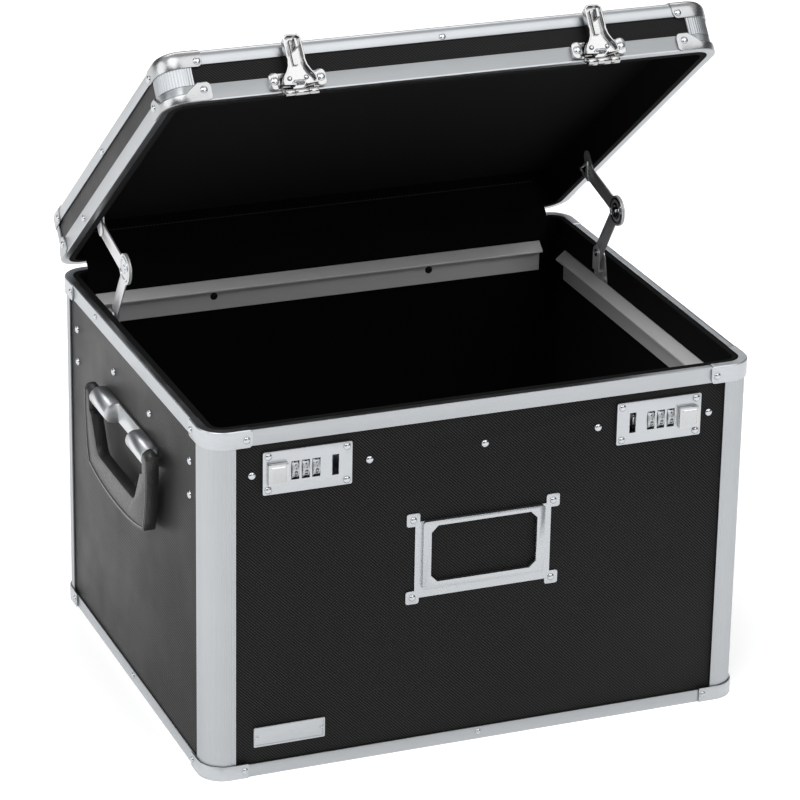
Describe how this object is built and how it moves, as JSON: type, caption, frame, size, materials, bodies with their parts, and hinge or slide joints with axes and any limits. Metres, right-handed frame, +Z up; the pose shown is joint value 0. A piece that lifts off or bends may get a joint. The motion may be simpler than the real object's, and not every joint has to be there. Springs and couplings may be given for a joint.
{
  "type": "file chest",
  "caption": "Locking file chest with metal edges, combination latches, folding lid stays, drop handles and rails for hanging folders.",
  "frame": {"origin": "centre of the underside of the case", "axes": "+X to the right when facing the locks, +Y from the locks towards the lid hinge, +Z up; the lid stands open 38.2 degrees at rest"},
  "size_m": [0.4696, 0.3971, 0.5518],
  "materials": {
    "post_aluminium": "satin, finely fluted",
    "rim_aluminium": "satin with a bright lip",
    "cap_aluminium": "satin",
    "rail_aluminium": "satin",
    "laminate_black": "black laminate with a fine diagonal weave",
    "laminate_grey": "dark grey laminate with fine dots",
    "lining": "black felt",
    "satin_steel": "satin plated",
    "hinge_steel": "plated",
    "stay_steel": "plated",
    "chrome": "polished",
    "grip_plastic": "pebbled black",
    "dial_metal": "satin with dark digits"
  },
  "bodies": {
    "case": {"front_panel": "laminate_black", "back_panel": "laminate_black", "left_panel": "laminate_grey", "right_panel": "laminate_grey", "bottom_panel": "laminate_black", "case_lining": "lining", "corner_post_front_left": "post_aluminium", "corner_post_front_right": "post_aluminium", "corner_post_back_right": "post_aluminium", "corner_post_back_left": "post_aluminium", "case_top_rim": "rim_aluminium", "case_bottom_rim": "rim_aluminium", "corner_cap_front_left": "cap_aluminium", "corner_cap_front_right": "cap_aluminium", "corner_cap_back_right": "cap_aluminium", "corner_cap_back_left": "cap_aluminium", "label_holder": "satin_steel", "badge_plate": "satin_steel", "file_rail_back": "rail_aluminium", "file_rail_front": "rail_aluminium", "file_rail_left": "rail_aluminium", "file_rail_right": "rail_aluminium", "left_lock_plate": "satin_steel", "right_lock_plate": "satin_steel", "left_handle_bracket": "chrome", "right_handle_bracket": "chrome", "hinge_leaf_case": "hinge_steel", "left_stay_case_bracket": "stay_steel", "right_stay_case_bracket": "stay_steel"},
    "lid": {"lid_band": "laminate_black", "lid_top_panel": "laminate_black", "lid_lower_rim": "rim_aluminium", "lid_upper_rim": "rim_aluminium", "lid_corner_front_left": "post_aluminium", "lid_corner_front_right": "post_aluminium", "lid_corner_back_right": "post_aluminium", "lid_corner_back_left": "post_aluminium", "lid_lining": "lining", "hinge_leaf_lid": "hinge_steel", "left_hasp_bracket": "chrome", "right_hasp_bracket": "chrome", "left_stay_lid_bracket": "stay_steel", "right_stay_lid_bracket": "stay_steel"},
    "left_hasp": {"left_hasp_arm": "chrome"},
    "left_grip": {"left_handle_grip": "grip_plastic"},
    "left_slider": {"left_lock_slider": "chrome"},
    "left_dial_1_wheel": {"left_dial_1": "dial_metal"},
    "left_dial_2_wheel": {"left_dial_2": "dial_metal"},
    "left_dial_3_wheel": {"left_dial_3": "dial_metal"},
    "left_lower_arm": {"left_stay_lower_arm": "stay_steel"},
    "left_upper_arm": {"left_stay_upper_arm": "stay_steel"},
    "right_hasp": {"right_hasp_arm": "chrome"},
    "right_grip": {"right_handle_grip": "grip_plastic"},
    "right_slider": {"right_lock_slider": "chrome"},
    "right_dial_1_wheel": {"right_dial_1": "dial_metal"},
    "right_dial_2_wheel": {"right_dial_2": "dial_metal"},
    "right_dial_3_wheel": {"right_dial_3": "dial_metal"},
    "right_lower_arm": {"right_stay_lower_arm": "stay_steel"},
    "right_upper_arm": {"right_stay_upper_arm": "stay_steel"}
  },
  "joints": [
    {"name": "lid_hinge", "type": "hinge", "parent": "case", "child": "lid", "pos_m": [0, 0.1861, 0.2794], "axis": [-1, 0, 0], "range_deg": [-38.2, 20]},
    {"name": "left_hasp_flip", "type": "hinge", "parent": "lid", "child": "left_hasp", "pos_m": [-0.121, -0.10492, 0.51452], "axis": [1, 0, 0], "range_deg": [0, 180]},
    {"name": "left_handle_swing", "type": "hinge", "parent": "case", "child": "left_grip", "pos_m": [-0.2282, 0, 0.222], "axis": [0, 1, 0], "range_deg": [0, 95]},
    {"name": "left_lock_button", "type": "slide", "parent": "case", "child": "left_slider", "axis": [-1, 0, 0], "range_m": [0, 0.003], "stiffness_N_per_m": 300},
    {"name": "left_dial_1_turn", "type": "hinge", "parent": "case", "child": "left_dial_1_wheel", "pos_m": [-0.1362, -0.1762, 0.2494], "axis": [1, 0, 0], "continuous": true},
    {"name": "left_dial_2_turn", "type": "hinge", "parent": "case", "child": "left_dial_2_wheel", "pos_m": [-0.1445, -0.1762, 0.2494], "axis": [1, 0, 0], "continuous": true},
    {"name": "left_dial_3_turn", "type": "hinge", "parent": "case", "child": "left_dial_3_wheel", "pos_m": [-0.1528, -0.1762, 0.2494], "axis": [1, 0, 0], "continuous": true},
    {"name": "left_stay_lower_turn", "type": "hinge", "parent": "case", "child": "left_lower_arm", "pos_m": [-0.2086, 0.079, 0.286], "axis": [-1, 0, 0], "range_deg": [-62, 33]},
    {"name": "left_stay_upper_turn", "type": "hinge", "parent": "lid", "child": "left_upper_arm", "pos_m": [-0.2101, 0.106, 0.3465], "axis": [-1, 0, 0], "range_deg": [-32, 60]},
    {"name": "right_hasp_flip", "type": "hinge", "parent": "lid", "child": "right_hasp", "pos_m": [0.121, -0.10492, 0.51452], "axis": [1, 0, 0], "range_deg": [0, 180]},
    {"name": "right_handle_swing", "type": "hinge", "parent": "case", "child": "right_grip", "pos_m": [0.2282, 0, 0.222], "axis": [0, -1, 0], "range_deg": [0, 95]},
    {"name": "right_lock_button", "type": "slide", "parent": "case", "child": "right_slider", "axis": [1, 0, 0], "range_m": [0, 0.003], "stiffness_N_per_m": 300},
    {"name": "right_dial_1_turn", "type": "hinge", "parent": "case", "child": "right_dial_1_wheel", "pos_m": [0.1362, -0.1762, 0.2494], "axis": [1, 0, 0], "continuous": true},
    {"name": "right_dial_2_turn", "type": "hinge", "parent": "case", "child": "right_dial_2_wheel", "pos_m": [0.1445, -0.1762, 0.2494], "axis": [1, 0, 0], "continuous": true},
    {"name": "right_dial_3_turn", "type": "hinge", "parent": "case", "child": "right_dial_3_wheel", "pos_m": [0.1528, -0.1762, 0.2494], "axis": [1, 0, 0], "continuous": true},
    {"name": "right_stay_lower_turn", "type": "hinge", "parent": "case", "child": "right_lower_arm", "pos_m": [0.2086, 0.079, 0.286], "axis": [-1, 0, 0], "range_deg": [-62, 33]},
    {"name": "right_stay_upper_turn", "type": "hinge", "parent": "lid", "child": "right_upper_arm", "pos_m": [0.2101, 0.106, 0.3465], "axis": [-1, 0, 0], "range_deg": [-32, 60]}
  ],
  "couplings": [
    {"joint": "left_stay_lower_turn", "follows": "lid_hinge", "ratio": 1.6},
    {"joint": "left_stay_upper_turn", "follows": "lid_hinge", "ratio": -1.55},
    {"joint": "right_stay_lower_turn", "follows": "lid_hinge", "ratio": 1.6},
    {"joint": "right_stay_upper_turn", "follows": "lid_hinge", "ratio": -1.55}
  ]
}
